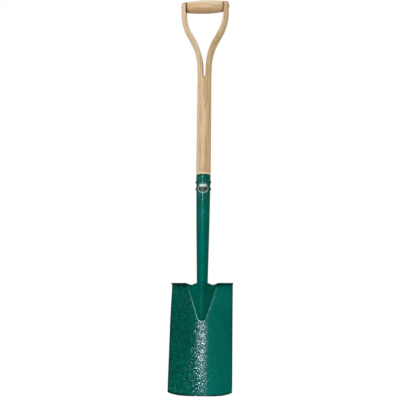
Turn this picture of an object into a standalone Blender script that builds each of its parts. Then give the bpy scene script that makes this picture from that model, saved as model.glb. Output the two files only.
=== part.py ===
"""Border spade: ash shaft split and bent into a loop handle, tapered steel socket, pressed steel blade.

+Z runs up the shaft, the hollow front of the blade faces -Y, and +X is on the right of someone who
looks at that front. The origin is the underside of the hand grip's middle, where the spade hangs on a hook.
All sizes are in metres.
"""

from math import acos, asin, cos, hypot, pi, radians, sin, sqrt, tan

import bmesh
import bpy
from mathutils import Vector

# Driving sizes of the handle
GRIP_MIDDLE_DIAMETER = 0.033
GRIP_END_DIAMETER = 0.0265
GRIP_EASING = 0.0012
LOOP_WIDTH = 0.0928
ARM_THICKNESS = 0.0122
ARM_SWELL = 0.0007
ARM_DEPTH = 0.0265
ARM_EASING = 0.003
ARM_SQUARENESS = 0.35
ARM_TOP_ROUNDING = 0.005
ARM_TOP_FLAT = 0.0028
NECK_EASING = 0.0009
NECK_DIAMETER = 0.034
NECK_GAP = 0.0070
NECK_SPREAD = 0.0006
BEND_ANGLE = radians(28.9)
LOWER_BEND_RADIUS = 0.1430
UPPER_BEND_RADIUS = 0.132
BEND_END_BELOW_GRIP = 0.0137
NECK_STRAIGHT = 0.017
CROTCH_LENGTH = 0.0195
WEDGE_HEIGHT = 0.0115
TENON_DIAMETER = 0.016
TENON_LENGTH = 0.004

# Driving sizes of the shaft and the socket
SHAFT_STRAIGHT = 0.2322
SHAFT_DIAMETER = 0.0349
SHOULDER_CHAMFER = 0.0013
SPIGOT_LENGTH = 0.150
SPIGOT_CHAMFER = 0.003
SOCKET_LENGTH = 0.2555
SOCKET_TOP_DIAMETER = 0.034
SOCKET_WAIST_DROP = 0.122
SOCKET_WAIST_DIAMETER = 0.0308
SOCKET_FOOT_DIAMETER = 0.0254
SOCKET_WALL = 0.0018
SOCKET_LIP = 0.0005
SOCKET_TAIL_LENGTH = 0.024
SOCKET_TAIL_DIAMETER = 0.0134

# Driving sizes of the blade
SHEET = 0.002
BLADE_LENGTH = 0.2539
BLADE_TOP_WIDTH = 0.1404
BLADE_BOTTOM_WIDTH = 0.1432
BLADE_BOW = 0.0081
BLADE_SETBACK = 0.006
BLADE_LEAN = radians(6.0)
BLADE_DISH = 0.0125
DISH_SHARE_AT_TOP = 0.4
DISH_RUN = 0.090
EDGE_THICKNESS = 0.0006
SHEET_EASING = 0.00025
TREAD_DEPTH = 0.0145
TREAD_FOLD_RADIUS = 0.0025
TREAD_OVERHANG = 0.0012
TREAD_END_RAMP = 0.0105

# Driving sizes of the frog, the raised V that carries the socket
FROG_LENGTH = 0.0859
FROG_SIDE_ANGLE = radians(17.7)
FROG_TIP_RADIUS = 0.011
FROG_FLARE = 0.0075
FROG_FLARE_RUN = 0.019
FROG_TOP_RUN = 0.0145
FROG_SHOULDER_ANGLE = radians(18.0)
FROG_CROWN_RUN = 0.018
FROG_RIDGE_EASE = 0.0035
FROG_NOSE_EASE = 0.004
FROG_FILLET = 0.0045
CREASE_FILLET = 0.0014

# Driving sizes of the fasteners
ROD_DIAMETER = 0.006
ROD_HEAD_DIAMETER = 0.0088
ROD_HEAD_HEIGHT = 0.0012
WASHER_DIAMETER = 0.0115
WASHER_THICKNESS = 0.0012
WASHER_SEAT_DEPTH = 0.0020
WASHER_EASING = 0.0002
RIVET_DIAMETER = 0.005
RIVET_HEAD_DIAMETER = 0.0072
RIVET_HEAD_HEIGHT = 0.0016
RIVET_DROPS = {"socket_rivet_upper": 0.0163, "socket_rivet_lower": 0.0332}

# Clearance between pieces that touch
FIT = 0.0003
MERGE = 0.00001

# Heights that follow from the sizes above
NECK_RADIUS = NECK_DIAMETER / 2
NECK_THICKNESS = NECK_RADIUS - NECK_GAP / 2
GRIP_Z = GRIP_MIDDLE_DIAMETER / 2
NECK_X = NECK_GAP / 2 + NECK_THICKNESS / 2
LOOP_X = LOOP_WIDTH / 2 + ARM_THICKNESS / 2
BEND_SPREAD = (LOWER_BEND_RADIUS + UPPER_BEND_RADIUS) * (1 - cos(BEND_ANGLE))
ARM_RUN = (LOOP_X - NECK_X - NECK_SPREAD - BEND_SPREAD) / sin(BEND_ANGLE)
BEND_END_Z = GRIP_Z - BEND_END_BELOW_GRIP
BEND_HEIGHT = (LOWER_BEND_RADIUS + UPPER_BEND_RADIUS) * sin(BEND_ANGLE) + ARM_RUN * cos(BEND_ANGLE)
BEND_START_Z = BEND_END_Z - BEND_HEIGHT
NECK_Z = BEND_START_Z - NECK_STRAIGHT
CROTCH_Z = NECK_Z - CROTCH_LENGTH
RIM_Z = CROTCH_Z - SHAFT_STRAIGHT
BLADE_Z = RIM_Z - SOCKET_LENGTH

# How finely round forms are divided
SHARP_ANGLE = radians(35)
ROUND_STEPS = 40
SMALL_ROUND_STEPS = 24
ARC_PARTS = 16
CROWN_COLUMNS = 6
FLANK_COLUMNS = 8
PANEL_COLUMNS = 10
SIDE_ROWS = 12
SIDE_ROWS_THAT_RISE = 3
TIP_ROWS = 5
LOWER_ROWS = 9
FOLD_ROWS = 4
CROWDING = 1.3


def start_empty():
    """Removes what the new file holds and returns one collection for the parts and one for the cutters."""
    for thing in list(bpy.data.objects):
        bpy.data.objects.remove(thing)
    collections = []
    for name in ("border_spade", "border_spade_cutters"):
        collection = bpy.data.collections.new(name)
        bpy.context.scene.collection.children.link(collection)
        collections.append(collection)
    return collections


def linear(channel):
    """The linear value of an 8-bit colour channel."""
    share = channel / 255
    return share / 12.92 if share <= 0.04045 else ((share + 0.055) / 1.055) ** 2.4


def material(name, colour, roughness, metallic=0.0):
    made = bpy.data.materials.new(name)
    made.use_nodes = True
    shader = made.node_tree.nodes["Principled BSDF"]
    shader.inputs["Base Color"].default_value = (*(linear(channel) for channel in colour), 1.0)
    shader.inputs["Roughness"].default_value = roughness
    shader.inputs["Metallic"].default_value = metallic
    return made


def ash_wood(name):
    return material(name, (206, 176, 132), 0.55)


def hammered_paint(name):
    return material(name, (0, 88, 74), 0.3)


def bare_steel(name):
    return material(name, (88, 86, 80), 0.4, 1.0)


def add_part(name, mesh, finish, location=(0, 0, 0), rotation=(0, 0, 0)):
    """Adds a named part at its place, shaded smooth but for its sharp edges."""
    mesh.name = name
    mesh.materials.append(finish)
    part = bpy.data.objects.new(name, mesh)
    part.location = location
    part.rotation_euler = rotation
    part.parent = origin
    parts.objects.link(part)
    mesh.shade_smooth()
    mesh.set_sharp_from_angle(angle=SHARP_ANGLE)
    return part


def solid_mesh(guide):
    """The mesh that a guide's curve or modifiers make, welded, with the guide taken away."""
    cutters.objects.link(guide)
    bpy.context.view_layer.update()
    evaluated = guide.evaluated_get(bpy.context.evaluated_depsgraph_get())
    mesh = bpy.data.meshes.new_from_object(evaluated)
    bpy.data.objects.remove(guide)
    builder = bmesh.new()
    builder.from_mesh(mesh)
    bmesh.ops.remove_doubles(builder, verts=builder.verts, dist=MERGE)
    builder.to_mesh(mesh)
    builder.free()
    return mesh


def turned(name, profile, finish, location, rotation=(0, 0, 0), closed=False, steps=ROUND_STEPS):
    """Turns a profile of (radius, height) pairs, listed down the outer side, round the local Z axis."""
    outline = bpy.data.meshes.new(f"{name}_outline")
    count = len(profile)
    edges = [(i, i + 1) for i in range(count - 1)]
    if closed:
        edges.append((count - 1, 0))
    outline.from_pydata([(radius, 0, height) for radius, height in profile], edges, [])
    guide = bpy.data.objects.new(f"{name}_outline", outline)
    screw = guide.modifiers.new("turn", "SCREW")
    screw.steps = screw.render_steps = steps
    screw.use_merge_vertices = True
    screw.merge_threshold = MERGE
    return add_part(name, solid_mesh(guide), finish, location, rotation)


def cutting_cylinder(name, radius, length, location, rotation=(0, 0, 0)):
    bpy.ops.mesh.primitive_cylinder_add(vertices=SMALL_ROUND_STEPS, radius=radius, depth=length)
    cutter = bpy.context.object
    cutter.name = name
    cutter.location = location
    cutter.rotation_euler = rotation
    for collection in list(cutter.users_collection):
        collection.objects.unlink(cutter)
    cutters.objects.link(cutter)
    cutter.parent = origin
    cutter.hide_render = True
    cutter.display_type = "WIRE"
    return cutter


def cut(part, cutter):
    boolean = part.modifiers.new(cutter.name, "BOOLEAN")
    boolean.operation = "DIFFERENCE"
    boolean.solver = "EXACT"
    boolean.object = cutter


def blend(share):
    """Eases a share from 0 to 1."""
    share = min(max(share, 0.0), 1.0)
    return share * share * (3 - 2 * share)


def smooth_max(first, second, reach):
    """The larger of two heights, with a fillet where they meet."""
    overlap = max(reach - abs(first - second), 0.0)
    return max(first, second) + overlap * overlap / (4 * reach)


def past(distance, ease):
    """A distance that starts softly from nothing and then grows evenly."""
    return hypot(distance, ease) - ease


# The socket's shape, which the wood inside it and the rivets share


def socket_radius(drop):
    """The socket's outer radius at a distance below its rim."""
    if drop <= SOCKET_WAIST_DROP:
        share = drop / SOCKET_WAIST_DROP
        return (SOCKET_TOP_DIAMETER + (SOCKET_WAIST_DIAMETER - SOCKET_TOP_DIAMETER) * share) / 2
    share = (drop - SOCKET_WAIST_DROP) / (SOCKET_LENGTH - SOCKET_WAIST_DROP)
    return (SOCKET_WAIST_DIAMETER + (SOCKET_FOOT_DIAMETER - SOCKET_WAIST_DIAMETER) * share) / 2


def spigot_radius(drop):
    """The radius of the wood inside the socket."""
    return socket_radius(drop) - SOCKET_WALL - FIT


# The shaft, with its split and bent arms


def arm_path():
    """Stations up the right arm's centre line: (x, z, lean) from the neck to the grip's axis."""
    stations = [(NECK_X, NECK_Z, 0.0), (NECK_X + NECK_SPREAD / 2, (NECK_Z + BEND_START_Z) / 2, 0.0)]
    bend_parts = 9
    for i in range(bend_parts + 1):
        lean = BEND_ANGLE * i / bend_parts
        x = NECK_X + NECK_SPREAD + LOWER_BEND_RADIUS * (1 - cos(lean))
        stations.append((x, BEND_START_Z + LOWER_BEND_RADIUS * sin(lean), lean))
    for i in range(bend_parts + 1):
        lean = BEND_ANGLE * (1 - i / bend_parts)
        x = LOOP_X - UPPER_BEND_RADIUS * (1 - cos(lean))
        stations.append((x, BEND_END_Z - UPPER_BEND_RADIUS * sin(lean), lean))
    stations.append((LOOP_X, GRIP_Z, 0.0))
    return stations


def arm_section(inner, thickness, depth, easing, squareness):
    """One closed ring of the right arm: a slice of the neck's circle, flat on its inner side.

    Points are (distance from the split, y), from the front edge round the outer side to the back edge,
    then over the eased back edge, across the flat and over the eased front edge.
    """
    cut_share = inner / NECK_RADIUS
    limit = acos(cut_share)
    ease_angle = easing / NECK_RADIUS
    ring = []
    for i in range(ARC_PARTS + 1):
        angle = (limit - ease_angle) * (2 * i / ARC_PARTS - 1)
        reach = max((cos(angle) - cut_share) / (1 - cut_share), 0.0) ** (1 - squareness)
        ring.append((inner + thickness * reach, depth / 2 * sin(angle) / sin(limit)))
    corner = Vector((inner, depth / 2))
    flat = Vector((inner, depth / 2 - easing))
    eased = (Vector(ring[-1]) + 2 * corner + flat) / 4
    return ring + [tuple(eased), tuple(flat), (flat.x, -flat.y), (eased.x, -eased.y)]


def shaft_rings():
    """The right half of the shaft: half rings up to the split, then closed rings up the arm."""
    half_rings = []
    radii = [(RIM_Z - SPIGOT_LENGTH, spigot_radius(SPIGOT_LENGTH) - SPIGOT_CHAMFER)]
    for drop in (SPIGOT_LENGTH - SPIGOT_CHAMFER, SOCKET_WAIST_DROP):
        radii.append((RIM_Z - drop, spigot_radius(drop)))
    radii.append((RIM_Z + FIT, spigot_radius(0)))
    radii.append((RIM_Z + FIT, SHAFT_DIAMETER / 2 - SHOULDER_CHAMFER))
    radii.append((RIM_Z + FIT + SHOULDER_CHAMFER, SHAFT_DIAMETER / 2))
    radii.append((CROTCH_Z, NECK_RADIUS))
    for z, radius in radii:
        angles = [pi * (i / ARC_PARTS - 0.5) for i in range(ARC_PARTS + 1)]
        half_rings.append([Vector((radius * cos(a), radius * sin(a), z)) for a in angles])

    full_rings = []
    crotch_parts = 6
    for i in range(1, crotch_parts):
        share = i / crotch_parts
        inner = NECK_GAP / 2 * (1 - (1 - share) ** 2)
        chord = 2 * sqrt(NECK_RADIUS ** 2 - inner ** 2)
        ring = arm_section(inner, NECK_RADIUS - inner, chord, NECK_EASING * share, 0.0)
        full_rings.append([Vector((x, y, CROTCH_Z + CROTCH_LENGTH * share)) for x, y in ring])

    stations = arm_path()
    height = stations[-1][1] - stations[0][1]
    neck_chord = 2 * sqrt(NECK_RADIUS ** 2 - (NECK_GAP / 2) ** 2)
    for x, z, lean in stations:
        share = (z - stations[0][1]) / height
        thickness = NECK_THICKNESS + (ARM_THICKNESS - NECK_THICKNESS) * share + ARM_SWELL * sin(pi * share)
        depth = neck_chord + (ARM_DEPTH - neck_chord) * blend(share)
        easing = NECK_EASING + (ARM_EASING - NECK_EASING) * blend(share * 2)
        ring = arm_section(NECK_GAP / 2, thickness, depth, easing, ARM_SQUARENESS * blend(share))
        across = Vector((cos(lean), 0, -sin(lean)))
        centre = Vector((x, 0, z))
        first = NECK_GAP / 2 + thickness / 2
        full_rings.append([centre + across * (u - first) + Vector((0, y, 0)) for u, y in ring])

    top_parts = 6
    last_angle = acos(ARM_TOP_FLAT / ARM_DEPTH)
    for i in range(1, top_parts + 1):
        angle = last_angle * i / top_parts
        rise = ARM_DEPTH / 2 * sin(angle)
        drop = ARM_DEPTH / 2 - rise
        shoulder = max(ARM_TOP_ROUNDING - drop, 0.0)
        thickness = ARM_THICKNESS - ARM_TOP_ROUNDING + sqrt(ARM_TOP_ROUNDING ** 2 - shoulder ** 2)
        easing = ARM_EASING * cos(angle)
        ring = arm_section(NECK_GAP / 2, thickness, ARM_DEPTH * cos(angle), easing, ARM_SQUARENESS)
        shift = LOOP_WIDTH / 2 - NECK_GAP / 2
        full_rings.append([Vector((x + shift, y, GRIP_Z + rise)) for x, y in ring])
    return half_rings, full_rings


def shaft_mesh():
    """Lofts the right half of the shaft, open at the plane X = 0."""
    half_rings, full_rings = shaft_rings()
    builder = bmesh.new()
    lower = [[builder.verts.new(point) for point in ring] for ring in half_rings]
    upper = [[builder.verts.new(point) for point in ring] for ring in full_rings]
    builder.faces.new(lower[0])
    for below, above in zip(lower, lower[1:]):
        for i in range(ARC_PARTS):
            builder.faces.new((below[i], below[i + 1], above[i + 1], above[i]))
    crotch = lower[-1] + [lower[-1][-1]] * 2 + [lower[-1][0]] * 2
    for below, above in zip([crotch] + upper, upper):
        count = len(above)
        for i in range(count):
            j = (i + 1) % count
            corners = []
            for vertex in (below[i], below[j], above[j], above[i]):
                if vertex not in corners:
                    corners.append(vertex)
            builder.faces.new(corners)
    builder.faces.new(upper[-1])
    bmesh.ops.recalc_face_normals(builder, faces=builder.faces)
    mesh = bpy.data.meshes.new("shaft")
    builder.to_mesh(mesh)
    builder.free()
    return mesh


def build_shaft():
    shaft = add_part("shaft", shaft_mesh(), ash_wood("shaft_ash"))
    mirror = shaft.modifiers.new("other_arm", "MIRROR")
    mirror.merge_threshold = 0.0001
    along_x = (0, pi / 2, 0)
    width = LOOP_WIDTH + 2 * ARM_THICKNESS
    rod_hole = cutting_cylinder("rod_hole", ROD_DIAMETER / 2 + FIT, 2 * width, (0, 0, GRIP_Z), along_x)
    recess_radius = TENON_DIAMETER / 2 + FIT
    recess_length = LOOP_WIDTH + 2 * (TENON_LENGTH + FIT)
    recess = cutting_cylinder("tenon_recess", recess_radius, recess_length, (0, 0, GRIP_Z), along_x)
    cut(shaft, rod_hole)
    cut(shaft, recess)
    for side, word in ((-1, "left"), (1, "right")):
        start = width / 2 - WASHER_SEAT_DEPTH
        place = (side * (start + WASHER_DIAMETER / 2), 0, GRIP_Z)
        radius = WASHER_DIAMETER / 2 + FIT
        seat = cutting_cylinder(f"washer_seat_{word}", radius, WASHER_DIAMETER, place, along_x)
        cut(shaft, seat)
    for name, drop in RIVET_DROPS.items():
        place = (0, 0, RIM_Z - drop)
        hole = cutting_cylinder(f"{name}_wood", RIVET_DIAMETER / 2 + FIT, 2 * SHAFT_DIAMETER, place, along_x)
        cut(shaft, hole)


def build_wedge():
    """The glued wedge, a flat V that follows the bottom of the split."""
    parts_up = 8
    right = []
    for i in range(parts_up + 1):
        share = (i / parts_up) * WEDGE_HEIGHT / CROTCH_LENGTH
        half_gap = NECK_GAP / 2 * (1 - (1 - share) ** 2)
        slope = NECK_GAP * (1 - share) / CROTCH_LENGTH
        right.append((half_gap - FIT * sqrt(1 + slope ** 2), CROTCH_LENGTH * share))
    right = [point for point in right if point[0] > 0]
    outline = right + [(-x, z) for x, z in reversed(right)]
    curve = bpy.data.curves.new("fork_wedge", "CURVE")
    curve.dimensions = "2D"
    curve.fill_mode = "BOTH"
    half_depth = sqrt(NECK_RADIUS ** 2 - (NECK_GAP / 2) ** 2)
    curve.extrude = half_depth
    spline = curve.splines.new("POLY")
    spline.points.add(len(outline) - 1)
    for point, (x, z) in zip(spline.points, outline):
        point.co = (x, z, 0, 1)
    spline.use_cyclic_u = True
    mesh = solid_mesh(bpy.data.objects.new("wedge_outline", curve))
    wood = material("wedge_wood", (198, 188, 158), 0.6)
    add_part("fork_wedge", mesh, wood, (0, 0, CROTCH_Z), (pi / 2, 0, 0))


# The hand grip and the rod that holds it


def build_grip():
    """A barrel between the arms, with a short tenon at each end and a bore for the rod."""
    half = LOOP_WIDTH / 2 - FIT
    tenon_end = half + TENON_LENGTH
    bore = ROD_DIAMETER / 2 + FIT
    bulge = (GRIP_MIDDLE_DIAMETER - GRIP_END_DIAMETER) / 2
    profile = [(bore, tenon_end), (TENON_DIAMETER / 2, tenon_end), (TENON_DIAMETER / 2, half)]
    profile.append((GRIP_END_DIAMETER / 2 - GRIP_EASING, half))
    barrel_parts = 14
    for i in range(barrel_parts + 1):
        height = (half - GRIP_EASING) * (1 - 2 * i / barrel_parts)
        share = height / half
        profile.append((GRIP_END_DIAMETER / 2 + bulge * (1 - share * share), height))
    profile.append((GRIP_END_DIAMETER / 2 - GRIP_EASING, -half))
    profile += [(TENON_DIAMETER / 2, -half), (TENON_DIAMETER / 2, -tenon_end), (bore, -tenon_end)]
    turned("grip", profile, ash_wood("grip_ash"), (0, 0, GRIP_Z), (0, pi / 2, 0), closed=True)


def dome(radius, height, base, direction, parts_round=5):
    """A domed head's profile, from its crown on the axis out to its rim, on the side given by direction."""
    sphere = (radius ** 2 + height ** 2) / (2 * height)
    widest = asin(radius / sphere)
    points = []
    for i in range(parts_round + 1):
        angle = widest * i / parts_round
        points.append((sphere * sin(angle), direction * (base + height - sphere * (1 - cos(angle)))))
    return points


def headed_pin(radius, head_radius, head_height, seat):
    """The profile of a pin with a domed head at each end, whose heads begin at the seat's distance."""
    top = dome(head_radius, head_height, seat, 1)
    bottom = dome(head_radius, head_height, seat, -1)
    return top + [(radius, seat), (radius, -seat)] + bottom[::-1]


def build_rod_and_washers():
    outer = LOOP_WIDTH / 2 + ARM_THICKNESS
    washer_start = outer - WASHER_SEAT_DEPTH + FIT
    head_start = washer_start + WASHER_THICKNESS + FIT
    along_x = (0, pi / 2, 0)
    profile = headed_pin(ROD_DIAMETER / 2, ROD_HEAD_DIAMETER / 2, ROD_HEAD_HEIGHT, head_start)
    turned("grip_rod", profile, bare_steel("rod_steel"), (0, 0, GRIP_Z), along_x, steps=SMALL_ROUND_STEPS)
    inner = ROD_DIAMETER / 2 + FIT
    half = WASHER_THICKNESS / 2
    edge = WASHER_DIAMETER / 2
    for side, word in ((-1, "left"), (1, "right")):
        ring = [(inner, half), (edge - WASHER_EASING, half), (edge, half - WASHER_EASING)]
        ring += [(edge, WASHER_EASING - half), (edge - WASHER_EASING, -half), (inner, -half)]
        place = (side * (washer_start + half), 0, GRIP_Z)
        name = f"grip_washer_{word}"
        turned(name, ring, bare_steel(f"{name}_steel"), place, along_x, closed=True, steps=SMALL_ROUND_STEPS)


# The socket and its rivets


def build_socket():
    """A tapered tube with a reduced tail, which goes behind the blade's frog."""
    tail = SOCKET_FOOT_DIAMETER / 2 - SHEET - FIT
    tail_end = SOCKET_TAIL_DIAMETER / 2
    shoulder = SOCKET_LENGTH - FIT
    profile = [(socket_radius(0) - SOCKET_LIP, 0.0), (socket_radius(0), -SOCKET_LIP)]
    for drop in (SOCKET_WAIST_DROP, shoulder):
        profile.append((socket_radius(drop), -drop))
    profile += [(tail, -shoulder), (tail_end, -SOCKET_LENGTH - SOCKET_TAIL_LENGTH)]
    profile.append((tail_end - SOCKET_WALL, -SOCKET_LENGTH - SOCKET_TAIL_LENGTH))
    profile.append((tail - SOCKET_WALL, SOCKET_WALL - shoulder))
    for drop in (shoulder - SOCKET_WALL, SOCKET_WAIST_DROP, 0.0):
        profile.append((socket_radius(drop) - SOCKET_WALL, -drop))
    socket = turned("socket", profile, hammered_paint("socket_paint"), (0, 0, RIM_Z), closed=True)
    for name, drop in RIVET_DROPS.items():
        place = (0, 0, RIM_Z - drop)
        radius = RIVET_DIAMETER / 2 + FIT
        cut(socket, cutting_cylinder(f"{name}_steel", radius, 2 * SHAFT_DIAMETER, place, (0, pi / 2, 0)))


def build_rivets():
    for name, drop in RIVET_DROPS.items():
        seat = socket_radius(drop - RIVET_HEAD_DIAMETER / 2) + FIT
        profile = headed_pin(RIVET_DIAMETER / 2, RIVET_HEAD_DIAMETER / 2, RIVET_HEAD_HEIGHT, seat)
        finish = hammered_paint(f"{name}_paint")
        turned(name, profile, finish, (0, 0, RIM_Z - drop), (0, pi / 2, 0), steps=SMALL_ROUND_STEPS)


# The blade, one pressed sheet with the frog and the folded treads


def frog_straight_width(depth):
    """Half the width of the raised V at a depth below the blade's top, but for its flare."""
    below = depth - (FROG_LENGTH - FROG_TIP_RADIUS)
    if below > FROG_TIP_RADIUS * sin(FROG_SIDE_ANGLE):
        return sqrt(max(FROG_TIP_RADIUS ** 2 - below ** 2, 0.0))
    return FROG_TIP_RADIUS / cos(FROG_SIDE_ANGLE) - below * tan(FROG_SIDE_ANGLE)


def frog_half_width(depth):
    """Half the width of the raised V, which flares out towards the treads."""
    return frog_straight_width(depth) + FROG_FLARE * max(1 - depth / FROG_FLARE_RUN, 0.0) ** 2


def sheet_height(x, depth):
    """How far the plain dished sheet's front lies before the shaft's axis."""
    dish = BLADE_DISH * (DISH_SHARE_AT_TOP + (1 - DISH_SHARE_AT_TOP) * blend(depth / DISH_RUN))
    return depth * tan(BLADE_LEAN) - BLADE_SETBACK + dish * (2 * x / BLADE_BOTTOM_WIDTH) ** 2


def frog_height(x, depth):
    """How far the frog's front lies before the axis: round like the socket at its top, then flat flanks
    that rise to a soft ridge."""
    width = frog_half_width(depth)
    foot = sheet_height(width, depth)
    radius = SOCKET_FOOT_DIAMETER / 2
    slope = (radius - sheet_height(frog_half_width(0), 0)) / past(frog_straight_width(0), FROG_NOSE_EASE)
    span = past(width, FROG_RIDGE_EASE)
    fall = past(x, FROG_RIDGE_EASE) / span if span else 1.0
    ridge = foot + slope * past(frog_straight_width(depth), FROG_NOSE_EASE) * (1 - fall)
    crown = foot + (width - x) * tan(FROG_SHOULDER_ANGLE)
    if x < radius:
        crown = smooth_max(sqrt(radius ** 2 - x ** 2), crown, FROG_FILLET)
    return crown + (ridge - crown) * blend(depth / FROG_CROWN_RUN)


def blade_point(x, depth):
    """A point of the blade's front, with a fillet in the crease round the frog."""
    height = smooth_max(frog_height(x, depth), sheet_height(x, depth), CREASE_FILLET)
    return Vector((x, -height, -depth))


def blade_half_width(depth):
    return (BLADE_TOP_WIDTH + (BLADE_BOTTOM_WIDTH - BLADE_TOP_WIDTH) * depth / BLADE_LENGTH) / 2


def edge_depth(share):
    """The depth of the cutting edge, nearly straight in the middle and bowed up to its corners."""
    return BLADE_LENGTH - BLADE_BOW * share ** 4


def frog_depths():
    """The depths of the rows that cross the frog, down its straight sides and round its tip."""
    top = SHEET + TREAD_FOLD_RADIUS
    centre = FROG_LENGTH - FROG_TIP_RADIUS
    tangent = centre + FROG_TIP_RADIUS * sin(FROG_SIDE_ANGLE)
    side = [top + (tangent - top) * (i / SIDE_ROWS) ** CROWDING for i in range(SIDE_ROWS)]
    turn = pi / 2 - FROG_SIDE_ANGLE
    angles = [FROG_SIDE_ANGLE + turn * i / TIP_ROWS for i in range(TIP_ROWS + 1)]
    return side + [centre + FROG_TIP_RADIUS * sin(angle) for angle in angles]


def frog_rows():
    """Rows of points over the right half of the frog, whose top edge rises to meet the socket."""
    depths = frog_depths()
    crown = SOCKET_FOOT_DIAMETER / 2
    top_width = frog_half_width(depths[0])
    crown_angle = radians(60)
    shares = [sin(crown_angle * i / CROWN_COLUMNS) * crown / top_width for i in range(CROWN_COLUMNS + 1)]
    last = shares[-1]
    shares += [last + (1 - last) * blend((i + 1) / FLANK_COLUMNS) for i in range(FLANK_COLUMNS)]
    rows = []
    for number, depth in enumerate(depths):
        row = []
        for share in shares:
            x = share * frog_half_width(depth)
            rise = depths[0] * (1 - blend((share * top_width - crown) / FROG_TOP_RUN))
            row.append(blade_point(x, depth - rise * max(1 - number / SIDE_ROWS_THAT_RISE, 0.0)))
        rows.append(row)
    return rows


def panel_rows():
    """Rows of points over the right side panel, from the tread's fold to the cutting edge."""
    shares = [(i / PANEL_COLUMNS) ** CROWDING for i in range(PANEL_COLUMNS + 1)]
    depths = frog_depths()
    rows = []
    for depth in depths:
        inner = frog_half_width(depth)
        row = [blade_point(inner + share * (blade_half_width(depth) - inner), depth) for share in shares]
        rows.append(row)
    for i in range(1, LOWER_ROWS + 1):
        row = []
        for share in shares:
            depth = FROG_LENGTH + (edge_depth(share) - FROG_LENGTH) * i / LOWER_ROWS
            row.append(blade_point(share * blade_half_width(depth), depth))
        rows.append(row)
    return rows


def tread_rows(frog_row, panel_row):
    """Rows of the tread, from its front edge back round the fold to the tops of the frog and the panel.

    The fold starts from nothing on the frog's flank and is full where the panel begins.
    """
    half_width = blade_half_width(0)
    start = panel_row[0].x - TREAD_END_RAMP
    front = TREAD_DEPTH - BLADE_SETBACK
    top_row = frog_row[CROWN_COLUMNS:] + panel_row[1:]
    flange = []
    folds = [[] for _ in range(FOLD_ROWS)]
    for point in top_row:
        full = blend((point.x - start) / TREAD_END_RAMP)
        for i, fold in enumerate(folds):
            angle = pi / 2 * (i + 1) / FOLD_ROWS
            x = point.x * (1 + TREAD_OVERHANG / half_width * full * (i + 1) / FOLD_ROWS)
            y = point.y - TREAD_FOLD_RADIUS * full * (1 - cos(angle))
            fold.append(Vector((x, y, point.z + TREAD_FOLD_RADIUS * full * sin(angle))))
        bend = folds[-1][-1]
        flange.append(Vector((bend.x, bend.y - (front + bend.y) * full, bend.z)))
    return [flange] + folds[::-1] + [top_row]


def add_rows(builder, rows):
    """Adds a sheet of faces through rows of points, and returns its vertices."""
    grid = [[builder.verts.new(point) for point in row] for row in rows]
    for above, below in zip(grid, grid[1:]):
        for i in range(len(above) - 1):
            builder.faces.new((above[i], below[i], below[i + 1], above[i + 1]))
    return grid


def build_blade():
    """Presses the right half of the sheet, mirrors it, gives it its thickness and grinds its edge."""
    builder = bmesh.new()
    frog, panel = frog_rows(), panel_rows()
    add_rows(builder, tread_rows(frog[0], panel[0]))
    add_rows(builder, frog)
    edge_row = add_rows(builder, panel)[-1]
    bmesh.ops.remove_doubles(builder, verts=builder.verts, dist=MERGE)
    builder.verts.index_update()
    edge = {vertex.index for vertex in edge_row}
    mesh = bpy.data.meshes.new("blade")
    builder.to_mesh(mesh)
    builder.free()
    blade = add_part("blade", mesh, hammered_paint("blade_paint"), (0, 0, BLADE_Z))
    full = blade.vertex_groups.new(name="full_thickness")
    full.add([v.index for v in mesh.vertices if v.index not in edge], 1.0, "REPLACE")
    mirror = blade.modifiers.new("left_half", "MIRROR")
    mirror.merge_threshold = 0.0001
    wall = blade.modifiers.new("sheet", "SOLIDIFY")
    wall.thickness = SHEET
    wall.offset = -1
    wall.use_even_offset = True
    wall.vertex_group = full.name
    wall.thickness_vertex_group = EDGE_THICKNESS / SHEET
    rounding = blade.modifiers.new("eased_edges", "BEVEL")
    rounding.width = SHEET_EASING
    rounding.segments = 1
    rounding.limit_method = "ANGLE"
    rounding.angle_limit = radians(60)


parts, cutters = start_empty()
origin = bpy.data.objects.new("hook_point", None)
parts.objects.link(origin)
build_shaft()
build_wedge()
build_grip()
build_rod_and_washers()
build_socket()
build_rivets()
build_blade()
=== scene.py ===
"""Dresses the border spade: ash wood with its grain, green hammer-finish paint, dark steel,
a plain oval sticker and the welds between socket and blade, in soft studio light on white.

Lengths are in metres and angles in degrees. X is across the spade to the right, Y goes from front
to back and Z up. Colours are sRGB from 0 to 255 a channel, apart from those of the floor, the world
and the lamps, which are linear from 0 to 1. A ramp is what Graph.share takes after its value: the
value at which the share starts to change, the value at which it ends, and the share at both, which
is 0 and 1 where it isn't given."""

from math import cos, pi, radians, sin, sqrt

import bmesh
import bpy
from mathutils import Matrix, Vector
from mathutils.bvhtree import BVHTree

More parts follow.
